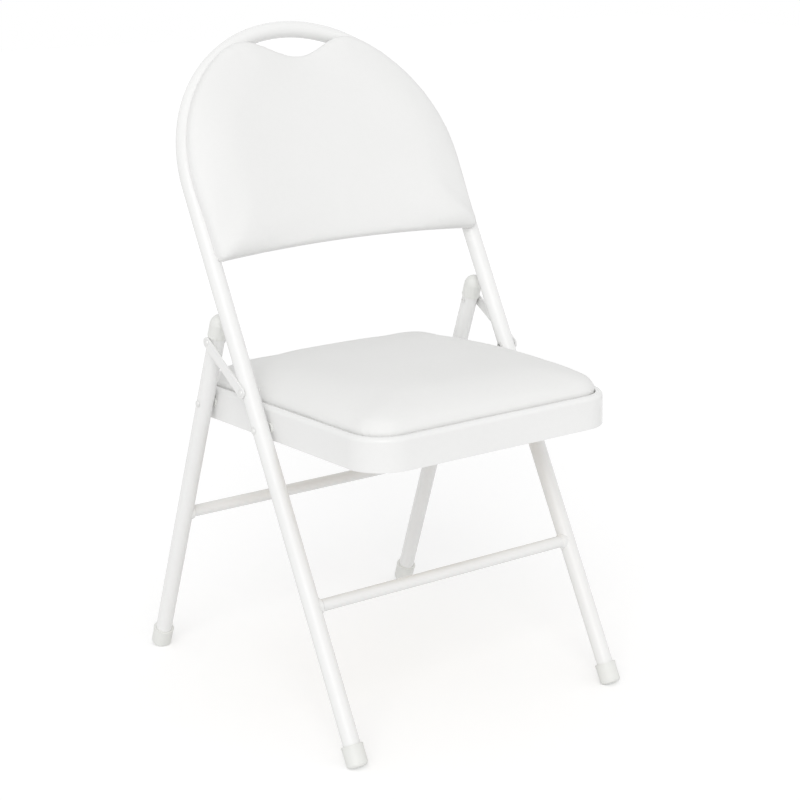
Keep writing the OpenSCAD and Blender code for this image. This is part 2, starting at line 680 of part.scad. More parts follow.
// The shouldered stud in the rear leg that the top of a link turns on
module link_stud(side) color(zinc) at_yz(link_high) mirror([side < 0 ? 1 : 0, 0, 0]) difference() {
  union() {
    along_x(leg_x(link_high_s) + tube_r + seat_gap * 2, link_in_x - slide_gap, spacer_d * 0.4);
    along_x(leg_x(link_high_s) - tube_r - seat_gap * 2, link_in_x - slide_gap, rivet_r);
    along_x(leg_x(link_high_s) - tube_r - seat_gap * 2 - upset_h * 0.3,
      leg_x(link_high_s) - tube_r - seat_gap * 2, upset_r);
  }
  along_x(leg_x(link_high_s) - tube_d, leg_x(link_high_s) - tube_r, hollow_r);
}
module link_stud_left() link_stud(left);
module link_stud_right() link_stud(right);

// Rear legs

module rear_leg(side) color(paint) difference() {
  on_leg(side) difference() {
    translate([0, 0, tube_end_s]) cylinder(h = rear_leg_len - tube_end_s, r = tube_r, $fn = round_fn);
    translate([0, 0, tube_end_s - over]) cylinder(h = rear_leg_len, r = tube_r - tube_wall, $fn = round_fn);
  }
  for (s = [leg_pivot_s, link_high_s])
    on_rear() translate([0, 0, s]) along_x(-frame_w, frame_w, rivet_r + pin_gap);
}
module rear_leg_left() rear_leg(left);
module rear_leg_right() rear_leg(right);

module rear_crossbar() color(paint) difference() {
  on_rear() translate([0, 0, rear_bar_s]) crossbar(leg_x(rear_bar_s));
  for (side = [left, right]) on_leg(side)
    cylinder(h = rear_leg_len, r = tube_r + seat_gap, $fn = round_fn);
}

module rear_foot(side) color(plastic) difference() {
  on_leg(side) translate([0, 0, foot_start_s]) foot_shape();
  floor_cut();
}
module rear_foot_left() rear_foot(left);
module rear_foot_right() rear_foot(right);

// Cap on a rear leg: a skirt with a ring at its base and a dome that bears on the front tube
cap_low_s = rear_leg_len - cap_skirt;
ring_r = cap_r + seat_gap * 2;
module rear_cap(side) color(plastic) difference() {
  on_leg(side) translate([0, 0, cap_low_s]) difference() {
    union() {
      cylinder(h = cap_skirt, r = cap_r, $fn = round_fn);
      cylinder(h = foot_bead_h * 0.6, r = ring_r, $fn = round_fn);
      translate([0, 0, cap_skirt]) rotate_extrude($fn = round_fn) intersection() {
        square([cap_r, cap_dome]);
        translate([cap_r - dome_r, 0]) circle(r = dome_r, $fn = round_fn);
      }
    }
    translate([0, 0, -over])
      cylinder(h = cap_skirt + over + seat_gap, r = tube_r + seat_gap, $fn = round_fn);
  }
  on_frame() translate([side * frame_x, 0, 0]) cylinder(h = hoop_s, r = tube_r + stop_gap, $fn = round_fn);
}
// Radius of the cap's dome section, which meets the skirt smoothly
dome_r = (cap_r * cap_r + cap_dome * cap_dome) / (cap_r * 2);
module rear_cap_left() rear_cap(left);
module rear_cap_right() rear_cap(right);

front_frame();
front_crossbar();
front_foot_left();
front_foot_right();
back_board();
back_foam();
back_cover();
back_rear_panel();
back_tabs();
back_screws();
back_tee_nuts();
seat_rivet_left();
seat_rivet_right();
link_low_rivet_left();
link_low_rivet_right();
seat_frame();
seat_board();
seat_foam();
seat_cover();
seat_screws();
front_spacer_left();
front_spacer_right();
rear_spacer_left();
rear_spacer_right();
rear_leg_left();
rear_leg_right();
rear_crossbar();
rear_foot_left();
rear_foot_right();
rear_cap_left();
rear_cap_right();
leg_rivet_left();
leg_rivet_right();
link_stud_left();
link_stud_right();
link_left();
link_right();
link_high_rivet_left();
link_high_rivet_right();
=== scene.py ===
import json
import math

import bmesh
import bpy
from mathutils import Matrix, Vector, noise


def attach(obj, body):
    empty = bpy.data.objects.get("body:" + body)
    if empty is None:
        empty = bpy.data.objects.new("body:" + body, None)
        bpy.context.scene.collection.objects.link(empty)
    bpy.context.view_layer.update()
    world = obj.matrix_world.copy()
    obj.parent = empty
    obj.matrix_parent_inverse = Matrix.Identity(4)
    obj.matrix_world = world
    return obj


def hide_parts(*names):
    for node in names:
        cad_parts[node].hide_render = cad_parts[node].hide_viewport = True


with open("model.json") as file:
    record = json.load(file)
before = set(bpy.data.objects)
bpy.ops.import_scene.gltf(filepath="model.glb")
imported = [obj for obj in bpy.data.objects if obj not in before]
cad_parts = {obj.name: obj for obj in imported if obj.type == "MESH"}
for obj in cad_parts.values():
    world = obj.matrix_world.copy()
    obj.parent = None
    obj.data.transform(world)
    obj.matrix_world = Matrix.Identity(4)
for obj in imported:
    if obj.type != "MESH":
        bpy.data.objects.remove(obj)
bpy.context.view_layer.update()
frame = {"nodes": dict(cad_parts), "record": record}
scene = bpy.context.scene
print("frame loaded:", len(frame["nodes"]), "nodes")

# ---- helpers for any node tree


def wire(tree, value, socket):  # the value is a number, a tuple or another node's output
    if isinstance(value, bpy.types.NodeSocket):
        tree.links.new(value, socket)
    else:
        socket.default_value = value


def put(tree, kind, **values):  # adds a node and fills its sockets, each named with _ for a space
    node = tree.nodes.new(kind)
    for label, value in values.items():
        wire(tree, value, node.inputs[label.replace("_", " ")])
    return node


def calc(tree, operation, a, b=0.0):
    node = tree.nodes.new("ShaderNodeMath")
    node.operation = operation
    wire(tree, a, node.inputs[0])
    wire(tree, b, node.inputs[1])
    return node.outputs[0]


def ranged(tree, value, low, high, start=0.0):  # what runs from start to 1 then runs from low to high
    node = put(tree, "ShaderNodeMapRange", Value=value, From_Min=start, To_Min=low, To_Max=high)
    return node.outputs["Result"]


# ---- camera, light and floor

shot = {
    "place": (-1.38255, -1.92888, 1.04606),
    "aim": (0.56883149, 0.77652240, -0.27100497),
    "lens": 83.444,
    "sensor": 36,
    "clipEnd": 60,
}
camera = bpy.data.objects.new("camera", bpy.data.cameras.new("camera"))
camera.data.lens = shot["lens"]
camera.data.sensor_width = shot["sensor"]
camera.data.clip_end = shot["clipEnd"]
camera.location = shot["place"]
camera.rotation_euler = Vector(shot["aim"]).to_track_quat("-Z", "Y").to_euler()
scene.collection.objects.link(camera)
scene.camera = camera
scene.view_settings.view_transform = "Standard"

studio = {
    "skyBright": 0.88,
    "skyDim": 0.59,
    "skyFrom": (-0.55, -0.75, 0.15),
    "keyFrom": (-0.68, -0.78, 0.6),
    "keyStrength": 0.88,
    "keyAngle": 42,
    "fillFrom": (0.9, -0.35, 0.35),
    "fillStrength": 0.08,
    "fillAngle": 60,
    "floorColour": (0.84, 0.84, 0.84, 1),
    "floorRough": 0.9,
    "floorLift": 0.28,
    "floorHalf": 9,
}
white = (1, 1, 1, 1)


def sun(name, comesFrom, strength, angle):
    lamp = bpy.data.objects.new(name, bpy.data.lights.new(name, "SUN"))
    lamp.data.energy = strength
    lamp.data.angle = math.radians(angle)
    lamp.rotation_euler = (-Vector(comesFrom)).to_track_quat("-Z", "Y").to_euler()
    scene.collection.objects.link(lamp)


def seenMask(tree):  # 1 where the camera sees a surface, straight or in a reflection
    path = tree.nodes.new("ShaderNodeLightPath").outputs
    opaque = calc(tree, "MAXIMUM", path["Is Camera Ray"], path["Is Glossy Ray"])
    return calc(tree, "MAXIMUM", opaque, path["Is Transmission Ray"])


sun("keyLight", studio["keyFrom"], studio["keyStrength"], studio["keyAngle"])
sun("fillLight", studio["fillFrom"], studio["fillStrength"], studio["fillAngle"])

world = bpy.data.worlds.new("studioWhite")
scene.world = world
world.use_nodes = True
tree = world.node_tree
skyWay = tree.nodes.new("ShaderNodeVectorMath")
skyWay.operation = "DOT_PRODUCT"
wire(tree, tree.nodes.new("ShaderNodeTexCoord").outputs["Generated"], skyWay.inputs[0])
wire(tree, Vector(studio["skyFrom"]).normalized(), skyWay.inputs[1])
# The sky that lights the chair is brighter before it than behind and overhead; the one that shows is white
skyGlow = ranged(tree, skyWay.outputs["Value"], studio["skyDim"], studio["skyBright"], start=-1)
sky = tree.nodes["Background"].inputs
sky["Color"].default_value = white
wire(tree, ranged(tree, seenMask(tree), skyGlow, 1), sky["Strength"])

floorPaint = bpy.data.materials.new("floorPaint")
floorPaint.use_nodes = True
tree = floorPaint.node_tree
floorShader = tree.nodes["Principled BSDF"].inputs
floorShader["Base Color"].default_value = studio["floorColour"]
floorShader["Roughness"].default_value = studio["floorRough"]
floorShader["Specular IOR Level"].default_value = 0
floorShader["Emission Color"].default_value = white
wire(tree, calc(tree, "MULTIPLY", seenMask(tree), studio["floorLift"]), floorShader["Emission Strength"])
half = studio["floorHalf"]
floorMesh = bpy.data.meshes.new("floor")
floorMesh.from_pydata([(-half, -half, 0), (half, -half, 0), (half, half, 0), (-half, half, 0)], [],
                      [(0, 1, 2, 3)])
floor = bpy.data.objects.new("floor", floorMesh)
floor.data.materials.append(floorPaint)
scene.collection.objects.link(floor)
print("studio ready")

# ---- shared shader groups

numberKind, wholeKind, colourKind = "NodeSocketFloat", "NodeSocketInt", "NodeSocketColor"
vectorKind, finishKind, shapeKind = "NodeSocketVector", "NodeSocketMaterial", "NodeSocketGeometry"


def newGroup(name, inputs, outputs):
    group = bpy.data.node_groups.new(name, "ShaderNodeTree")
    for label, kind, value in inputs:
        socket = group.interface.new_socket(label, in_out="INPUT", socket_type=kind)
        socket.default_value = value
    for label, kind in outputs:
        group.interface.new_socket(label, in_out="OUTPUT", socket_type=kind)
    return group, group.nodes.new("NodeGroupInput").outputs, group.nodes.new("NodeGroupOutput").inputs


def noiseAt(tree, place, scale, detail=1.0, rough=0.5):
    node = put(tree, "ShaderNodeTexNoise", Vector=place, Scale=scale, Detail=detail, Roughness=rough)
    return node.outputs["Fac"]


def scaledBy(tree, value, share):
    return calc(tree, "MULTIPLY", value, share)


def weighed(tree, first, second, share):  # the first by its share, and the second by the rest
    return calc(tree, "ADD", scaledBy(tree, first, share), scaledBy(tree, second, 1 - share))


def mixColours(tree, factor, first, second):
    node = tree.nodes.new("ShaderNodeMix")
    node.data_type = "RGBA"
    for number, value in ((0, factor), (6, first), (7, second)):  # its colour sockets differ by number only
        wire(tree, value, node.inputs[number])
    return node.outputs[2]


# Soft tone changes that any finish has: broad clouds with a little fine mottle
softTone, gIn, gOut = newGroup("softTone", [
    ("Place", vectorKind, (0, 0, 0)), ("Light", colourKind, white), ("Dark", colourKind, (0.8, 0.8, 0.8, 1)),
    ("Broad", numberKind, 9), ("Fine", numberKind, 160)], [("Colour", colourKind), ("Mask", numberKind)])
broad = noiseAt(softTone, gIn["Place"], gIn["Broad"])
mottle = noiseAt(softTone, gIn["Place"], gIn["Fine"])
toneMask = weighed(softTone, broad, mottle, 0.75)
wire(softTone, mixColours(softTone, toneMask, gIn["Light"], gIn["Dark"]), gOut["Colour"])
wire(softTone, toneMask, gOut["Mask"])

# Fine pebbled grain of pressed vinyl: small cells with soft valleys between them
vinylGrain, gIn, gOut = newGroup("vinylGrain", [
    ("Place", vectorKind, (0, 0, 0)), ("Size", numberKind, 900)], [("Height", numberKind)])
cells = put(vinylGrain, "ShaderNodeTexVoronoi", Vector=gIn["Place"], Scale=gIn["Size"])
wire(vinylGrain, calc(vinylGrain, "SUBTRACT", 1.0, cells.outputs["Distance"]), gOut["Height"])

# Long grain of a peeled veneer: streaks along X, drawn out of true by a slow waver
woodGrain, gIn, gOut = newGroup("woodGrain", [
    ("Place", vectorKind, (0, 0, 0)), ("Streaks", numberKind, 90), ("Pores", numberKind, 700),
    ("Stretch", numberKind, 0.06), ("Waver", numberKind, 0.024)],
    [("Mask", numberKind), ("Height", numberKind)])
waver = calc(woodGrain, "MULTIPLY", noiseAt(woodGrain, gIn["Place"], scale=4.0), gIn["Waver"])
apart = put(woodGrain, "ShaderNodeSeparateXYZ", Vector=gIn["Place"]).outputs
drawn = put(woodGrain, "ShaderNodeCombineXYZ", X=calc(woodGrain, "MULTIPLY", apart["X"], gIn["Stretch"]),
            Y=calc(woodGrain, "ADD", apart["Y"], waver), Z=apart["Z"]).outputs[0]
streaks = noiseAt(woodGrain, drawn, gIn["Streaks"], detail=4.0, rough=0.65)
pores = noiseAt(woodGrain, drawn, gIn["Pores"])
wire(woodGrain, streaks, gOut["Mask"])
wire(woodGrain, weighed(woodGrain, streaks, pores, 0.6), gOut["Height"])

# The slight orange peel of baked powder coat, over a slower swell
orangePeel, gIn, gOut = newGroup("orangePeel", [
    ("Place", vectorKind, (0, 0, 0)), ("Size", numberKind, 420), ("Swell", numberKind, 90)],
    [("Height", numberKind)])
peel = noiseAt(orangePeel, gIn["Place"], gIn["Size"], detail=2.0, rough=0.4)
slowSwell = noiseAt(orangePeel, gIn["Place"], gIn["Swell"])
wire(orangePeel, weighed(orangePeel, peel, slowSwell, 0.6), gOut["Height"])
print("shader groups ready")

# ---- materials


def addGroup(tree, group, place, **values):
    node = tree.nodes.new("ShaderNodeGroup")
    node.node_tree = group
    wire(tree, place, node.inputs["Place"])
    for label, value in values.items():
        node.inputs[label].default_value = value
    return node.outputs


def addBump(tree, height, strength, depth):
    bump = put(tree, "ShaderNodeBump", Height=height, Strength=strength, Distance=depth)
    wire(tree, bump.outputs["Normal"], tree.nodes["Principled BSDF"].inputs["Normal"])


def newMaterial(name, look):  # relief is a group, its size, and the bump's strength and depth
    material = bpy.data.materials.new(name)
    material.use_nodes = True
    tree = material.node_tree
    shader = tree.nodes["Principled BSDF"].inputs
    place = tree.nodes.new("ShaderNodeTexCoord").outputs["Object"]
    tone = addGroup(tree, softTone, place, Light=(*look["light"], 1), Dark=(*look["dark"], 1),
                    Broad=look.get("broad", 9.0))
    colour = tone["Colour"]
    wire(tree, ranged(tree, tone["Mask"], *look["rough"]), shader["Roughness"])
    for label, value in look.get("sockets", {}).items():
        shader[label].default_value = value
    if "relief" in look:
        group, size, strength, depth = look["relief"]
        addBump(tree, addGroup(tree, group, place, Size=size)["Height"], strength, depth)
    if "grain" in look:
        grain = addGroup(tree, woodGrain, place, Streaks=look["grain"]["streaks"])
        streakShare = ranged(tree, grain["Mask"], *look["grain"]["share"])
        colour = mixColours(tree, streakShare, colour, (*look["grain"]["dark"], 1))
        addBump(tree, grain["Height"], look["grain"]["strength"], look["grain"]["depth"])
    wire(tree, colour, shader["Base Color"])
    return material


vinylLook = {
    "rough": (0.46, 0.6), "broad": 7.0, "relief": (vinylGrain, 900.0, 0.35, 0.00015),
    "sockets": {"Sheen Weight": 0.02, "Sheen Roughness": 0.4, "Specular IOR Level": 0.18}}
powderCoat = newMaterial("powderCoat", {
    "light": (0.9, 0.9, 0.893), "dark": (0.84, 0.84, 0.832), "rough": (0.2, 0.27),
    "relief": (orangePeel, 700.0, 0.12, 0.0001), "sockets": {"Specular IOR Level": 0.38}})
seatVinyl = newMaterial("seatVinyl", {"light": (0.87, 0.87, 0.86), "dark": (0.82, 0.82, 0.81), **vinylLook})
backVinyl = newMaterial("backVinyl", {"light": (0.87, 0.87, 0.862), "dark": (0.82, 0.82, 0.812), **vinylLook})
footPlastic = newMaterial("footPlastic", {
    "light": (0.83, 0.835, 0.81), "dark": (0.77, 0.775, 0.75), "rough": (0.38, 0.52), "broad": 30.0,
    "relief": (orangePeel, 1100.0, 0.2, 0.0001)})
panelPlastic = newMaterial("panelPlastic", {
    "light": (0.86, 0.86, 0.85), "dark": (0.8, 0.8, 0.79), "rough": (0.45, 0.6),
    "relief": (vinylGrain, 1300.0, 0.3, 0.0001)})
zincSteel = newMaterial("zincSteel", {
    "light": (0.78, 0.79, 0.8), "dark": (0.6, 0.61, 0.62), "rough": (0.33, 0.47), "broad": 120.0,
    "relief": (orangePeel, 900.0, 0.2, 0.0001), "sockets": {"Metallic": 1.0}})
rivetSteel = newMaterial("rivetSteel", {
    "light": (0.86, 0.86, 0.85), "dark": (0.72, 0.72, 0.71), "rough": (0.34, 0.46), "broad": 150.0,
    "relief": (orangePeel, 900.0, 0.2, 0.0001), "sockets": {"Metallic": 0.6}})
plywood = newMaterial("plywood", {
    "light": (0.8, 0.69, 0.53), "dark": (0.72, 0.6, 0.44), "rough": (0.6, 0.8), "broad": 12.0,
    "grain": {"streaks": 150.0, "share": (-0.7, 1.1), "dark": (0.52, 0.38, 0.24), "strength": 0.4,
              "depth": 0.0002}})
foamYellow = newMaterial("foamYellow", {
    "light": (0.9, 0.85, 0.66), "dark": (0.82, 0.76, 0.55), "rough": (0.85, 0.95), "broad": 60.0})

finishes = {
    "powder_coat": powderCoat, "seat_vinyl": seatVinyl, "back_vinyl": backVinyl,
    "foot_plastic": footPlastic, "panel_plastic": panelPlastic, "zinc_steel": zincSteel,
    "rivet_steel": rivetSteel, "plywood": plywood, "foam": foamYellow}
for entry in frame["record"]["subparts"]:
    node = frame["nodes"][entry["node"]]
    node.data.materials.clear()
    node.data.materials.append(finishes[entry["material_slot"]])
print("materials ready:", len(finishes))

# ---- the chair's own frames, in metres

chair = {
    "frontY": -0.239842, "frameLean": 28.8, "frameX": 0.208, "tubeR": 0.0111,
    "seatY": -0.253309, "seatLowZ": 0.372362, "seatTilt": 1.9,
    "hoopS": 0.760028, "padLowS": 0.653,
}
creaseAngle = math.radians(50)  # sharper edges than this are shaded sharp


def leaning(y, z, degrees):  # a frame whose Z axis leans towards +Y
    return Matrix.Translation((0, y, z)) @ Matrix.Rotation(-math.radians(degrees), 4, "X")


onFrame = leaning(chair["frontY"], 0, chair["frameLean"])
onSeat = leaning(chair["seatY"], chair["seatLowZ"], chair["seatTilt"])
offFrame, offSeat = onFrame.inverted(), onSeat.inverted()


def newPiece(name, verts, faces, matrix=None, edges=()):
    mesh = bpy.data.meshes.new(name)
    mesh.from_pydata([tuple(v) for v in verts], edges, faces)
    if matrix is not None:
        mesh.transform(matrix)
    mesh.update()
    piece = bpy.data.objects.new(name, mesh)
    scene.collection.objects.link(piece)
    return piece


def closedRings(rings):  # verts and outward faces of a skin over rings, closed by a point at each end
    n, m = len(rings), len(rings[0])
    verts = [p for ring in rings for p in ring]
    verts += [sum((Vector(p) for p in ring), Vector()) / m for ring in (rings[0], rings[-1])]
    faces = []
    for i in range(n - 1):
        for j in range(m):
            k = (j + 1) % m
            faces.append((i * m + j, i * m + k, (i + 1) * m + k, (i + 1) * m + j))
    for j in range(m):
        k = (j + 1) % m
        faces.append((n * m, k, j))
        faces.append((n * m + 1, (n - 1) * m + j, (n - 1) * m + k))
    return verts, faces


def bake(piece):  # the piece's modifiers become its mesh
    bpy.context.view_layer.update()
    graph = bpy.context.evaluated_depsgraph_get()
    mesh = bpy.data.meshes.new_from_object(piece.evaluated_get(graph), depsgraph=graph)
    piece.modifiers.clear()
    piece.data = mesh
    mesh.name = piece.name


def finishSkin(piece, material):
    mesh = piece.data
    mesh.polygons.foreach_set("use_smooth", [True] * len(mesh.polygons))
    mesh.update()
    mesh.set_sharp_from_angle(angle=creaseAngle)
    mesh.materials.clear()
    mesh.materials.append(material)


def openMesh(piece):
    work = bmesh.new()
    work.from_mesh(piece.data)
    return work


def closeMesh(piece, work):
    work.to_mesh(piece.data)
    work.free()


def outward(piece):
    work = openMesh(piece)
    bmesh.ops.recalc_face_normals(work, faces=work.faces)
    closeMesh(piece, work)


skin = {"quality": 6, "mass": 0.3, "stretch": 30.0, "shear": 12.0, "bend": 4.0, "frames": 20, "cap": 0.003}


def swell(piece, soft, holdShare):  # the form becomes stuffed vinyl; holdShare(point) is 1 where it is held
    remesh = piece.modifiers.new("remesh", "REMESH")
    remesh.mode = "VOXEL"
    remesh.voxel_size = soft["voxel"]
    bake(piece)
    start = [v.co.copy() for v in piece.data.vertices]
    group = piece.vertex_groups.new(name="held")
    for i, point in enumerate(start):
        weight = holdShare(point)
        if weight > 0:
            group.add([i], weight, "REPLACE")
    cloth = piece.modifiers.new("cloth", "CLOTH")
    settings = cloth.settings
    settings.quality = skin["quality"]
    settings.mass = skin["mass"]
    settings.tension_stiffness = settings.compression_stiffness = skin["stretch"]
    settings.shear_stiffness = skin["shear"]
    settings.bending_stiffness = skin["bend"]
    settings.use_pressure = True
    settings.uniform_pressure_force = soft["pressure"]
    settings.effector_weights.gravity = 0
    settings.vertex_group_mass = "held"
    for number in range(1, skin["frames"] + 1):
        scene.frame_set(number)
    bake(piece)
    scene.frame_set(1)
    piece.vertex_groups.clear()
    for vertex, old in zip(piece.data.vertices, start):
        move = vertex.co - old
        if move.length > skin["cap"]:
            vertex.co = old + move.normalized() * skin["cap"]
    piece.data.update()


def cutFlat(piece, matrix, point, normal):  # cuts off what lies past a plane, and closes the cut
    work = openMesh(piece)
    bmesh.ops.bisect_plane(
        work, geom=work.verts[:] + work.edges[:] + work.faces[:], dist=1e-6,
        plane_co=matrix @ Vector(point), plane_no=matrix.to_3x3() @ Vector(normal), clear_outer=True)
    bmesh.ops.remove_doubles(work, verts=work.verts, dist=2e-5)
    bmesh.ops.edgeloop_fill(work, edges=[edge for edge in work.edges if edge.is_boundary])
    bmesh.ops.recalc_face_normals(work, faces=work.faces)
    closeMesh(piece, work)


pocketClear = 0.004  # how far a pocket's tool starts outside the cushion


def pocket(piece, lowRing, highRing):  # takes the space between two rings out of the piece, for its board
    cutter = newPiece(piece.name + ".pocket", *closedRings([lowRing, highRing]))
    outward(cutter)
    modifier = piece.modifiers.new("pocket", "BOOLEAN")
    modifier.operation = "DIFFERENCE"
    modifier.solver = "EXACT"
    modifier.object = cutter
    bake(piece)
    bpy.data.objects.remove(cutter)


def relax(piece, rounds, freeShare):  # evens the surface out; freeShare(point) is 0 where it stays
    work = openMesh(piece)
    free = [freeShare(vertex.co) for vertex in work.verts]
    for _ in range(rounds):
        before = [vertex.co.copy() for vertex in work.verts]
        bmesh.ops.smooth_vert(
            work, verts=work.verts, factor=0.5, use_axis_x=True, use_axis_y=True, use_axis_z=True)
        for vertex, old, share in zip(work.verts, before, free):
            vertex.co = old.lerp(vertex.co, share)
    closeMesh(piece, work)


def subdivide(piece, levels):
    modifier = piece.modifiers.new("subdivision", "SUBSURF")
    modifier.levels = modifier.render_levels = levels


def smoothStep(low, high, value):
    t = min(max((value - low) / (high - low), 0), 1)
    return t * t * (3 - 2 * t)


def curveThrough(rows, value):  # straight lines through rows of (x, y)
    for (x0, y0), (x1, y1) in zip(rows, rows[1:]):
        if value <= x1:
            return y0 + (y1 - y0) * (value - x0) / (x1 - x0)
    return rows[-1][1]


# ---- seat cushion

seatPad = {
    "width": 0.367, "depth": 0.39634, "cornerR": 0.0417, "firstY": 0.0103,
    "lowZ": 0.035, "rimZ": 0.0427, "boardIn": 0.0019, "boardTop": 0.0422,
    "crownFront": 0.0343, "crownTop": 0.038, "crownRear": 0.0305, "topAt": -0.3, "rises": -1.3, "falls": 1.2,
    "edgeRoll": 0.01, "overRim": 0.0022, "lapAt": (0.0022, 0.004), "lapRise": 0.0028, "crease": 0.0009,
    "spare": 0.008, "spareIn": 0.02, "rings": 39, "reach": 0.172, "evenTo": 0.03,
    "held": (0.001, 0.009), "edgeFree": (0.003, 0.014), "topFree": (0.015, 0.022),
    "edgeRounds": 8, "topRounds": 16, "voxel": 0.0052, "pressure": 3.0,
}
quarters = [(1, 1), (-1, 1), (-1, -1), (1, -1)]


def roundedOutline(halfX, halfY, radius, cornerSteps=12, sideSteps=26):  # anticlockwise from +X +Y
    def onCorner(turn, angle):
        sideX, sideY = quarters[turn % 4]
        return (sideX * (halfX - radius) + radius * math.cos(angle),
                sideY * (halfY - radius) + radius * math.sin(angle))

    points = []
    for turn in range(4):
        for i in range(cornerSteps + 1):
            points.append(onCorner(turn, math.radians(90 * turn + 90 * i / cornerSteps)))
        last, target = points[-1], onCorner(turn + 1, math.radians(90 * (turn + 1)))
        for i in range(1, sideSteps):
            points.append(tuple(a + (b - a) * i / sideSteps for a, b in zip(last, target)))
    return points


def insetOutline(points, distance):  # moves each point inwards along its normal
    moved = []
    for i, point in enumerate(points):
        before, after = points[i - 1], points[(i + 1) % len(points)]
        along = Vector((after[0] - before[0], after[1] - before[1])).normalized()
        moved.append((point[0] - along.y * distance, point[1] + along.x * distance))
    return moved


seatHalfX, seatHalfY = seatPad["width"] / 2, seatPad["depth"] / 2
seatMiddleY, rimZ = seatPad["firstY"] + seatHalfY, seatPad["rimZ"]
seatOutline = roundedOutline(seatHalfX, seatHalfY, seatPad["cornerR"])
# How far in from the edge, and the share of the crown that is reached there
crownRows = [(0, 0.13), (0.001, 0.25), (0.0035, 0.44), (0.0085, 0.635), (0.017, 0.775), (0.029, 0.86),
             (0.045, 0.915), (0.07, 0.96), (0.11, 0.987), (0.19, 1)]
rollShare = curveThrough(crownRows, seatPad["edgeRoll"])


def seatCrown(y):  # how far the cushion would stand over the rim here if its edges didn't roll off
    along = y / seatHalfY
    front, top, rear = seatPad["crownFront"], seatPad["crownTop"], seatPad["crownRear"]
    if along < seatPad["topAt"]:
        return front + (top - front) * smoothStep(seatPad["rises"], seatPad["topAt"], along)
    return top + (rear - top) * smoothStep(seatPad["topAt"], seatPad["falls"], along)


def seatRoll(distance):  # the share of the crown this far from one side, past the edge's own roll
    return max(curveThrough(crownRows, distance), rollShare)


def seatRing(inset, height, crowned=False):  # a ring of the cushion; two sides' rolls meet softly at a corner
    even = seatPad["evenTo"]
    shrunk = insetOutline(seatOutline, min(inset, even))
    scale = 1 - max(inset - even, 0) / (seatHalfX - even)
    edgeShare = min(1, curveThrough(crownRows, max(inset, 0)) / rollShare)
    ring = []
    for x, y in shrunk:
        x, y, lift = x * scale, y * scale, 0
        if crowned:
            sides = seatRoll(seatHalfX - abs(x)) * seatRoll(seatHalfY - abs(y))
            lift = seatCrown(y) * edgeShare * sides
        ring.append((x, y + seatMiddleY, height + lift))
    return ring


belowZ = seatPad["lowZ"] - seatPad["spare"]
seatRings = [seatRing(seatPad["spareIn"], belowZ), seatRing(0, belowZ), seatRing(0, rimZ)]
seatRings += [seatRing(-seatPad["overRim"], rimZ + up) for up in seatPad["lapAt"]]
for i in range(1, seatPad["rings"] + 1):
    seatRings.append(seatRing(seatPad["reach"] * (i / seatPad["rings"]) ** 2, rimZ, True))
seatCushion = newPiece("seatCushion", *closedRings(seatRings), onSeat)


def overRimShare(point, span):  # rises from 0 to 1 between two heights over the rim
    return smoothStep(rimZ + span[0], rimZ + span[1], (offSeat @ point).z)


def seatHeld(point):
    return 1 - smoothStep(rimZ - seatPad["held"][0], rimZ + seatPad["held"][1], (offSeat @ point).z)


def seatKept(point):  # a hair inside the rim below its top, and lapping over it above
    local = offSeat @ point
    lap = smoothStep(rimZ, rimZ + seatPad["lapRise"], local.z)
    over = lap * (seatPad["overRim"] + seatPad["crease"]) - seatPad["crease"]
    limitX, limitY = seatHalfX + over, seatHalfY + over
    local.x = min(max(local.x, -limitX), limitX)
    y = min(max(local.y - seatMiddleY, -limitY), limitY)
    radius = seatPad["cornerR"] + over
    cx, cy = abs(local.x) - (limitX - radius), abs(y) - (limitY - radius)
    if cx > 0 and cy > 0 and math.hypot(cx, cy) > radius:
        scale = radius / math.hypot(cx, cy)
        local.x = math.copysign(limitX - radius + cx * scale, local.x)
        y = math.copysign(limitY - radius + cy * scale, y)
    local.y = y + seatMiddleY
    return onSeat @ local


def keepSeat():
    for vertex in seatCushion.data.vertices:
        vertex.co = seatKept(vertex.co)


swell(seatCushion, seatPad, seatHeld)
keepSeat()
relax(seatCushion, seatPad["edgeRounds"], lambda point: overRimShare(point, seatPad["edgeFree"]))
relax(seatCushion, seatPad["topRounds"], lambda point: overRimShare(point, seatPad["topFree"]))
keepSeat()
subdivide(seatCushion, 1)
bake(seatCushion)
cutFlat(seatCushion, onSeat, (0, 0, seatPad["lowZ"]), (0, 0, -1))
pocket(seatCushion, *[[onSeat @ Vector(p) for p in seatRing(seatPad["boardIn"], height)]
                      for height in (seatPad["lowZ"] - pocketClear, seatPad["boardTop"])])
finishSkin(seatCushion, seatVinyl)
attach(seatCushion, "seat")
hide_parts("seat_cover", "seat_foam")
print("seat cushion:", len(seatCushion.data.polygons), "faces")

# ---- back cushion

backPad = {
    "over": 0.0025, "cornerR": 0.007, "draw": 0.003, "arch": 0.009,
    "lobeX": 0.088, "lobeDrop": 0.02, "lobeEnd": 1.25, "notch": 0.028, "notchLift": 0.002, "liftPower": 4,
    "thick": 0.0272, "dish": 0.013, "dishPower": 1.8, "lowRoll": 1.8, "lowFrom": (0.5, 0.68),
    "rearY": -0.0114, "boardIn": 0.0031, "boardFront": -0.0166, "spare": 0.008, "spareIn": 0.02,
    "rings": 41, "reach": 0.184, "evenTo": 0.03, "shrinkOver": 0.16,
    "held": (0.006, 0.014), "edgeFree": (0.006, 0.017), "edgeRounds": 8,
    "voxel": 0.005, "pressure": 2.6,
}
# How finely each part of half its outline is drawn
padSteps = {"notch": 24, "hoop": 36, "side": 16, "corner": 8, "low": 30}
padRadius = chair["frameX"] + backPad["over"]
lobeTop = chair["hoopS"] + chair["frameX"] - backPad["lobeDrop"]


def notchLift(x):  # how far the hand hole's edge stands over the board's line
    return backPad["notchLift"] * (1 - (x / backPad["lobeX"]) ** backPad["liftPower"])


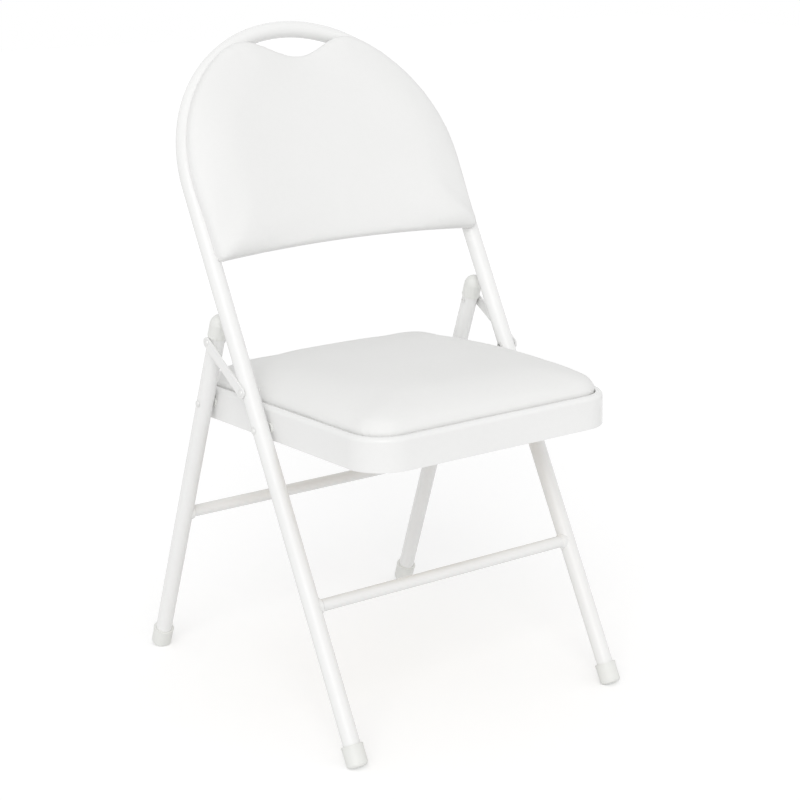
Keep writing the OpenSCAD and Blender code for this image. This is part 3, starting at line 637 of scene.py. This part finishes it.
def padOutline():  # X and Z in the front frame, anticlockwise seen from the sitter's side
    hoop, low, radius = chair["hoopS"], chair["padLowS"], padRadius
    half = []
    for i in range(padSteps["notch"] + 1):
        x = backPad["lobeX"] * i / padSteps["notch"]
        dip = backPad["notch"] * (1 + math.cos(math.pi * x / backPad["lobeX"])) / 2
        half.append((x, lobeTop + notchLift(x) - dip))
    first = math.acos(backPad["lobeEnd"] * backPad["lobeX"] / radius)
    for i in range(padSteps["hoop"] + 1):
        angle = first * (1 - i / padSteps["hoop"])
        half.append((radius * math.cos(angle), hoop + radius * math.sin(angle)))
    side = radius - backPad["draw"]
    sideTop, sideLow = (radius, hoop), (side, low + backPad["cornerR"])
    for i in range(1, padSteps["side"]):
        t = i / padSteps["side"]
        half.append((sideTop[0] + (sideLow[0] - sideTop[0]) * t * t * (3 - 2 * t),
                     sideTop[1] + (sideLow[1] - sideTop[1]) * t))
    for i in range(padSteps["corner"] + 1):
        angle = math.radians(90 * i / padSteps["corner"])
        half.append((side - backPad["cornerR"] * (1 - math.cos(angle)),
                     low + backPad["cornerR"] * (1 - math.sin(angle))))
    reach = side - backPad["cornerR"]
    for i in range(1, padSteps["low"]):
        x = reach * (1 - i / padSteps["low"])
        half.append((x, low + backPad["arch"] * (1 - (x / side) ** 2)))
    return half + [(0, low + backPad["arch"])] + [(-x, z) for x, z in reversed(half[1:])]


padPoints = padOutline()
padMiddle = Vector((0, (chair["padLowS"] + lobeTop) / 2))
# How far in from the edge, and the share of the pad's thickness that is reached there
padShareRows = [(0, 0), (0.0004, 0.2), (0.0014, 0.36), (0.0055, 0.53), (0.0125, 0.655), (0.021, 0.765),
                (0.035, 0.9), (0.045, 0.98), (0.054, 1), (0.3, 1)]


def drawnIn(x, z, distance):  # the point moved towards the pad's middle
    away = Vector((x, z)) - padMiddle
    return padMiddle + away * (1 - distance / away.length)


def padRing(inset, onFace=True):  # a ring of the pad's front, dished in the middle, with a tight lower roll
    ring = []
    for x, z in padPoints:
        away = Vector((x, z)) - padMiddle
        tight = 1 + backPad["lowRoll"] * smoothStep(*backPad["lowFrom"], -away.normalized().y)
        share = curveThrough(padShareRows, inset * tight) if onFace else 0
        scale = 1 - max(inset - backPad["evenTo"], 0) / backPad["shrinkOver"]
        point = padMiddle + away * (1 - min(inset, backPad["evenTo"]) / away.length) * scale
        dished = backPad["dish"] * share ** backPad["dishPower"] * (1 - (point.x / padRadius) ** 2)
        ring.append((point.x, backPad["rearY"] - max(share * backPad["thick"] - dished, 0), point.y))
    return ring


spareY = backPad["rearY"] + backPad["spare"]
padRings = [[(x, spareY, z) for x, _, z in padRing(inset, False)] for inset in (backPad["spareIn"], 0)]
for i in range(backPad["rings"] + 1):
    padRings.append(padRing(backPad["reach"] * (i / backPad["rings"]) ** 2))
backCushion = newPiece("backCushion", *closedRings(padRings), onFrame)
outward(backCushion)


def beforeBoard(point, span):  # rises from 0 to 1 between two distances in front of the pad's rear
    return smoothStep(*span, backPad["rearY"] - (offFrame @ point).y)


swell(backCushion, backPad, lambda point: 1 - beforeBoard(point, backPad["held"]))
relax(backCushion, backPad["edgeRounds"], lambda point: beforeBoard(point, backPad["edgeFree"]))
subdivide(backCushion, 1)
bake(backCushion)
cutFlat(backCushion, onFrame, (0, backPad["rearY"], 0), (0, 1, 0))
boardRing = [drawnIn(x, z, backPad["boardIn"]) for x, z in padPoints]
pocket(backCushion, *[[onFrame @ Vector((point.x, y, point.y)) for point in boardRing]
                      for y in (backPad["rearY"] + pocketClear, backPad["boardFront"])])
finishSkin(backCushion, backVinyl)
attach(backCushion, "frame")
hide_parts("back_cover", "back_foam")
print("back cushion:", len(backCushion.data.polygons), "faces")

# ---- node trees that set out what repeats


def newTree(name, inputs):  # a Geometry Nodes tree with named inputs; gives its ends and the inputs' ids too
    tree = bpy.data.node_groups.new(name, "GeometryNodeTree")
    tree.interface.new_socket("Geometry", in_out="INPUT", socket_type=shapeKind)
    ids = {}
    for label, kind, value in inputs:
        socket = tree.interface.new_socket(label, in_out="INPUT", socket_type=kind)
        if value is not None:
            socket.default_value = value
        ids[label] = socket.identifier
    tree.interface.new_socket("Geometry", in_out="OUTPUT", socket_type=shapeKind)
    return tree, tree.nodes.new("NodeGroupInput").outputs, tree.nodes.new("NodeGroupOutput").inputs, ids


def triple(tree, x=0.0, y=0.0, z=0.0):
    return put(tree, "ShaderNodeCombineXYZ", X=x, Y=y, Z=z).outputs[0]


def joined(tree, *parts):
    node = tree.nodes.new("GeometryNodeJoinGeometry")
    for part in reversed(parts):
        tree.links.new(part, node.inputs[0])
    return node.outputs[0]


def setOut(tree, points, shape, turn, spin, inputs, outputs):  # the shape on every point, spun by chance
    placed = put(tree, "GeometryNodeInstanceOnPoints", Points=points, Instance=shape, Rotation=turn)
    chance = tree.nodes.new("FunctionNodeRandomValue")
    chance.data_type = "FLOAT"
    for number, value in ((2, 0), (3, spin)):  # its lowest and highest number
        wire(tree, value, chance.inputs[number])
    wire(tree, inputs["Seed"], chance.inputs["Seed"])
    spun = put(tree, "GeometryNodeRotateInstances", Instances=placed.outputs[0],
               Rotation=triple(tree, z=chance.outputs[1]))
    real = put(tree, "GeometryNodeRealizeInstances", Geometry=spun.outputs[0])
    done = put(tree, "GeometryNodeSetMaterial", Geometry=real.outputs[0], Material=inputs["Material"])
    tree.links.new(done.outputs[0], outputs["Geometry"])


def movedTo(tree, shape, place):
    return put(tree, "GeometryNodeTransform", Geometry=shape, Translation=place).outputs[0]


commonInputs = [("Seed", wholeKind, 7), ("Material", finishKind, None)]

# A pan-head screw with a crossed recess: the head rises along +Z from the point, the shank runs down
screwTree, gIn, gOut, screwIds = newTree("crossScrews", [
    ("Head Radius", numberKind, 0.0045), ("Head Height", numberKind, 0.0026),
    ("Shank Radius", numberKind, 0.0025), ("Shank Length", numberKind, 0.02),
    ("Recess", numberKind, 0.0052), ("Turn", vectorKind, (0, 0, 0)), *commonInputs])
screwForm = {"rim": 0.3, "dome": 0.7, "slotWide": 0.24, "slotDeep": 1.3, "shankDown": -0.495}
rimH = scaledBy(screwTree, gIn["Head Height"], screwForm["rim"])
disc = put(screwTree, "GeometryNodeMeshCylinder", Vertices=40, Side_Segments=1, Fill_Segments=7,
           Radius=gIn["Head Radius"], Depth=rimH)
here = screwTree.nodes.new("GeometryNodeInputPosition").outputs[0]
spot = put(screwTree, "ShaderNodeSeparateXYZ", Vector=here).outputs
squareX, squareY, squareR = [calc(screwTree, "MULTIPLY", value, value)
                             for value in (spot["X"], spot["Y"], gIn["Head Radius"])]
outShare = calc(screwTree, "DIVIDE", calc(screwTree, "ADD", squareX, squareY), squareR)
fromRim = calc(screwTree, "MAXIMUM", calc(screwTree, "SUBTRACT", 1.0, outShare), 0.0)
domeUp = calc(screwTree, "MULTIPLY", calc(screwTree, "SUBTRACT", gIn["Head Height"], rimH),
              calc(screwTree, "POWER", fromRim, screwForm["dome"]))
domed = put(screwTree, "GeometryNodeSetPosition", Geometry=disc.outputs["Mesh"],
            Selection=calc(screwTree, "GREATER_THAN", spot["Z"], 0.0), Offset=triple(screwTree, z=domeUp))
head = movedTo(screwTree, domed.outputs[0], triple(screwTree, z=scaledBy(screwTree, rimH, 0.5)))
slotW = scaledBy(screwTree, gIn["Recess"], screwForm["slotWide"])
slotD = scaledBy(screwTree, gIn["Head Height"], screwForm["slotDeep"])
cut = screwTree.nodes.new("GeometryNodeMeshBoolean")
cut.operation = "DIFFERENCE"
wire(screwTree, head, cut.inputs["Mesh 1"])
for slotX, slotY in ((gIn["Recess"], slotW), (slotW, gIn["Recess"])):
    bar = put(screwTree, "GeometryNodeMeshCube", Size=triple(screwTree, slotX, slotY, slotD))
    wire(screwTree, movedTo(screwTree, bar.outputs["Mesh"], triple(screwTree, z=gIn["Head Height"])),
         cut.inputs["Mesh 2"])
shank = put(screwTree, "GeometryNodeMeshCylinder", Vertices=24, Radius=gIn["Shank Radius"],
            Depth=gIn["Shank Length"])
shankDown = movedTo(screwTree, shank.outputs["Mesh"],
                    triple(screwTree, z=scaledBy(screwTree, gIn["Shank Length"], screwForm["shankDown"])))
setOut(screwTree, gIn["Geometry"], joined(screwTree, cut.outputs["Mesh"], shankDown), gIn["Turn"],
       math.tau, gIn, gOut)


def alongPath(tree, inputs, how, pivot="AUTO"):  # points along a closed path, each turned with X along it
    curve = put(tree, "GeometryNodeMeshToCurve", Mesh=inputs["Geometry"])
    spread = put(tree, "GeometryNodeResampleCurve", Curve=curve.outputs[0])
    spread.mode = how
    label, socket = ("Spacing", "Length") if how == "LENGTH" else ("Count", "Count")
    wire(tree, inputs[label], spread.inputs[socket])
    along = tree.nodes.new("FunctionNodeAlignRotationToVector")
    along.axis = "X"
    along.pivot_axis = pivot
    wire(tree, tree.nodes.new("GeometryNodeInputTangent").outputs[0], along.inputs["Vector"])
    return spread.outputs[0], along.outputs[0]


# Wire staples along a path, their crowns lying on its plane
stapleTree, gIn, gOut, stapleIds = newTree("staples", [
    ("Spacing", numberKind, 0.028), ("Crown", numberKind, 0.0095), ("Wire Width", numberKind, 0.0011),
    ("Wire Height", numberKind, 0.0005), ("Leg", numberKind, 0.003), ("Sway", numberKind, 0.12),
    *commonInputs])
crownBar = put(stapleTree, "GeometryNodeMeshCube",
               Size=triple(stapleTree, gIn["Crown"], gIn["Wire Width"], gIn["Wire Height"]))
stapleParts = [crownBar.outputs["Mesh"]]
legShift = calc(stapleTree, "SUBTRACT", scaledBy(stapleTree, gIn["Crown"], 0.5),
                scaledBy(stapleTree, gIn["Wire Height"], 0.5))
for side in (-1.0, 1.0):
    leg = put(stapleTree, "GeometryNodeMeshCube",
              Size=triple(stapleTree, gIn["Wire Height"], gIn["Wire Width"], gIn["Leg"]))
    stapleParts.append(movedTo(stapleTree, leg.outputs["Mesh"], triple(
        stapleTree, scaledBy(stapleTree, legShift, side), 0.0, scaledBy(stapleTree, gIn["Leg"], 0.5))))
staplePoints, stapleTurn = alongPath(stapleTree, gIn, "LENGTH", "Z")
setOut(stapleTree, staplePoints, joined(stapleTree, *stapleParts), stapleTurn, gIn["Sway"], gIn, gOut)

# Overlapping ripples of a weld bead along a path
weldTree, gIn, gOut, weldIds = newTree("weldBeads", [
    ("Count", wholeKind, 34), ("Bead", numberKind, 0.0014), ("Sway", numberKind, 0.3), *commonInputs])
blob = put(weldTree, "GeometryNodeMeshIcoSphere", Radius=gIn["Bead"], Subdivisions=2)
flat = put(weldTree, "GeometryNodeTransform", Geometry=blob.outputs["Mesh"], Scale=(0.75, 1.15, 1.0))
smooth = put(weldTree, "GeometryNodeSetShadeSmooth", Geometry=flat.outputs[0])
beadPoints, beadTurn = alongPath(weldTree, gIn, "COUNT")
setOut(weldTree, beadPoints, smooth.outputs[0], beadTurn, gIn["Sway"], gIn, gOut)


def grow(name, points, edges, tree, ids, values, matrix):  # a tree's result on points or a path, as a mesh
    piece = newPiece(name, points, [], None, edges)
    modifier = piece.modifiers.new("grow", "NODES")
    modifier.node_group = tree
    for label, value in values.items():
        modifier[ids[label]] = value
    bake(piece)
    piece.data.transform(matrix)
    piece.data.update()
    return piece


def loopEdges(count):
    return [(i, (i + 1) % count) for i in range(count)]


print("node trees ready")

# ---- screws, hem, staples and welds

backScrews = {
    "headY": -0.0072, "places": [(0.186, 0.690028), (0.1195595, 0.9025155)],
    "sizes": {"Head Radius": 0.0045, "Head Height": 0.0026, "Shank Radius": 0.0025, "Shank Length": 0.0135,
              "Recess": 0.0052, "Turn": (math.radians(-90), 0, 0), "Seed": 11, "Material": zincSteel},
}
seatScrews = {
    "headZ": 0.0336, "places": [(0.1763, 0.104235), (0.1763, 0.312706)],
    "sizes": {"Head Radius": 0.004, "Head Height": 0.0024, "Shank Radius": 0.002, "Shank Length": 0.0071,
              "Recess": 0.0046, "Turn": (math.radians(180), 0, 0), "Seed": 12, "Material": zincSteel},
}
screwPoints = [(side * x, backScrews["headY"], z) for side in (-1, 1) for x, z in backScrews["places"]]
backScrewHeads = grow("backScrewHeads", screwPoints, [], screwTree, screwIds, backScrews["sizes"], onFrame)
screwPoints = [(side * x, y, seatScrews["headZ"]) for side in (-1, 1) for x, y in seatScrews["places"]]
seatScrewHeads = grow("seatScrewHeads", screwPoints, [], screwTree, screwIds, seatScrews["sizes"], onSeat)
for piece, body, node in ((backScrewHeads, "frame", "back_screws"), (seatScrewHeads, "seat", "seat_screws")):
    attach(piece, body)
    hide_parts(node)

# The vinyl turned under the seat board and stapled to it
hem = {
    "start": 0.0149, "width": 0.019, "topZ": 0.03498, "thick": 0.0009, "rings": 8,
    "ragged": 0.0022, "waves": 22, "seedZ": 3.7, "lipRise": 0.0002, "endRise": 0.0003,
    "pleat": 0.0007, "pleats": 90, "pleatX": (0.10, 0.14), "pleatY": (0.115, 0.155),
    "lipPleat": 0.3, "flatter": 0.35, "stapleIn": 0.0085, "stapleOut": 0.0002,
}


def hemRing(inset, height, ragged=0.0, pleat=0.0):  # a ring under the seat; only its corners are pleated
    ring = []
    for x, y in insetOutline(seatOutline, inset):
        wobble = noise.noise(Vector((x * hem["waves"], y * hem["waves"], hem["seedZ"])))
        away = Vector((x, y)).normalized() * (ragged * wobble)
        cornerShare = smoothStep(*hem["pleatX"], abs(x)) * smoothStep(*hem["pleatY"], abs(y))
        fold = pleat * cornerShare * (0.5 + 0.5 * math.sin(math.atan2(y, x) * hem["pleats"]))
        ring.append((x - away.x, y - away.y + seatMiddleY, height - fold))
    return ring


def ringLoop(rings):  # faces of a closed band over rings that come back to the first
    n, m = len(rings), len(rings[0])
    verts = [p for ring in rings for p in ring]
    faces = [(i * m + j, i * m + (j + 1) % m, ((i + 1) % n) * m + (j + 1) % m, ((i + 1) % n) * m + j)
             for i in range(n) for j in range(m)]
    return verts, faces


lowFace = hem["topZ"] - hem["thick"]
hemRings = [hemRing(hem["start"], hem["topZ"]),
            hemRing(hem["start"], lowFace + hem["lipRise"], 0, hem["pleat"] * hem["lipPleat"])]
for i in range(1, hem["rings"] + 1):
    t = i / hem["rings"]
    hemRings.append(hemRing(
        hem["start"] + hem["width"] * t, lowFace + (hem["endRise"] if i == hem["rings"] else 0),
        hem["ragged"] * t, hem["pleat"] * (1 - hem["flatter"] * t)))
hemRings.append(hemRing(hem["start"] + hem["width"], hem["topZ"], hem["ragged"]))
seatHem = newPiece("seatHem", *ringLoop(hemRings), onSeat)
outward(seatHem)
finishSkin(seatHem, seatVinyl)
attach(seatHem, "seat")
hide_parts("seat_cover")

staplePath = hemRing(hem["start"] + hem["stapleIn"], lowFace - hem["stapleOut"])
seatStaples = grow("seatStaples", staplePath, loopEdges(len(staplePath)), stapleTree, stapleIds, {
    "Spacing": 0.031, "Sway": 0.25, "Seed": 21, "Material": zincSteel}, onSeat)
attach(seatStaples, "seat")


# The same turned edge behind the back pad, from its outline to the rear panel
backHemSize = {
    "start": 0.0008, "end": 0.0138, "thick": 0.0006, "lip": 0.6, "tail": 0.8, "rings": 8, "clear": 0.00003,
}


def behindPad(inset, proud):  # a ring behind the pad, kept off the tube
    ring = []
    for x, z in padPoints:
        inNotch = z > chair["hoopS"] and abs(x) < backPad["lobeX"]  # it reaches further there, to the panel
        point = drawnIn(x, z, inset + (notchLift(x) * inset / backHemSize["end"] if inNotch else 0))
        out = abs(point.x) if point.y < chair["hoopS"] else math.hypot(point.x, point.y - chair["hoopS"])
        beside = min(abs(out - chair["frameX"]), chair["tubeR"])
        tubeFace = -math.sqrt(chair["tubeR"] ** 2 - beside ** 2) - backHemSize["clear"]
        ring.append((point.x, min(backPad["rearY"] + proud, tubeFace), point.y))
    return ring


start, end, thick = backHemSize["start"], backHemSize["end"], backHemSize["thick"]
backRings = [behindPad(start, 0), behindPad(start, thick * backHemSize["lip"])]
backRings += [behindPad(start + (end - start) * i / backHemSize["rings"], thick)
              for i in range(1, backHemSize["rings"])]
backRings += [behindPad(end, thick * backHemSize["tail"]), behindPad(end, 0)]
backHem = newPiece("backHem", *ringLoop(backRings), onFrame)
outward(backHem)
finishSkin(backHem, backVinyl)
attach(backHem, "frame")
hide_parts("back_cover")

# Weld beads where the crossbars meet the legs
welds = {
    "barR": 0.0094, "bead": 0.0012, "beads": 40, "clear": 0.0003,
    "frontS": 0.203, "rearX": 0.21019, "rearS": 0.229, "rearY": 0.242166, "rearLean": 19.4,
}


def weldPath(side, reachX, height, steps=72):  # the line round a crossbar where it meets the leg's tube
    path = []
    for i in range(steps):
        angle = math.tau * i / steps
        y, z = welds["barR"] * math.cos(angle), welds["barR"] * math.sin(angle)
        away = reachX - math.sqrt(chair["tubeR"] ** 2 - y * y) - welds["clear"]
        path.append((side * away, y, height + z))
    return path


onRear = leaning(welds["rearY"], 0, -welds["rearLean"])
for name, body, matrix, reachX, height in (
        ("frontWelds", "frame", onFrame, chair["frameX"], welds["frontS"]),
        ("rearWelds", "rear_legs", onRear, welds["rearX"], welds["rearS"])):
    ends = [weldPath(side, reachX, height) for side in (-1, 1)]
    count = len(ends[0])
    edges = loopEdges(count) + [(a + count, b + count) for a, b in loopEdges(count)]
    bead = grow(name, ends[0] + ends[1], edges, weldTree, weldIds, {
        "Count": welds["beads"], "Bead": welds["bead"], "Seed": 31, "Material": powderCoat}, matrix)
    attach(bead, body)
print("fasteners, hem, staples and welds ready")
